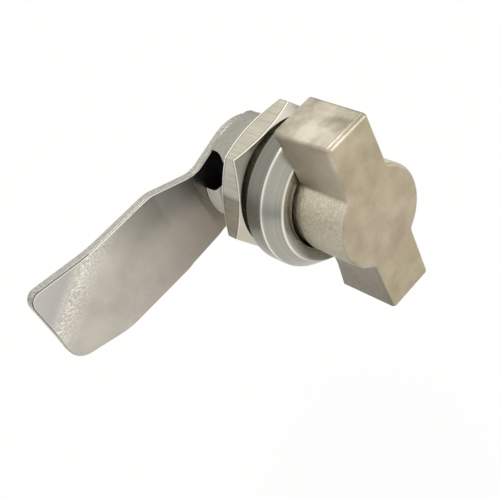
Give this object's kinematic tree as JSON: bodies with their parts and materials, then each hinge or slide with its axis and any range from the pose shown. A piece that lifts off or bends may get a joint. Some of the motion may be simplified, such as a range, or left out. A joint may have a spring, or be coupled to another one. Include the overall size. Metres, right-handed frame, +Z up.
{
  "type": "quarter-turn cam lock",
  "caption": "Cam lock with a wing handle: a round flange and threaded barrel clamp in a panel by a hexagon nut, and the handle swings a cranked flat cam behind a frame.",
  "frame": {"origin": "on the lock's axis, in the plane where the back of the flange meets the panel", "axes": "+Y along the lock's axis, back through the panel towards the cam; +Z up along the upright wing; -X along the cam in the locked position"},
  "size_m": [0.0656, 0.0436, 0.04],
  "materials": {
    "cast_stainless": "investment-cast stainless steel, tumbled to a soft satin",
    "turned_stainless": "turned stainless steel, semi-bright",
    "milled_stainless": "milled stainless steel, matt flats with bright chamfers",
    "sheet_stainless": "blanked and tumbled stainless sheet, semi-gloss",
    "black_rubber": "black nitrile rubber, matt"
  },
  "bodies": {
    "housing": {"housing": "turned_stainless", "flange_seal": "black_rubber", "mounting_nut": "milled_stainless"},
    "rotor": {"wing_handle": "cast_stainless", "spindle_seal": "black_rubber", "cam": "sheet_stainless", "flat_washer": "sheet_stainless", "spring_washer": "milled_stainless", "cam_screw": "milled_stainless"}
  },
  "joints": [
    {"name": "wing_turn", "type": "hinge", "parent": "housing", "child": "rotor", "pos_m": [0, 0, 0], "axis": [0, -1, 0], "range_deg": [0, 90]}
  ]
}
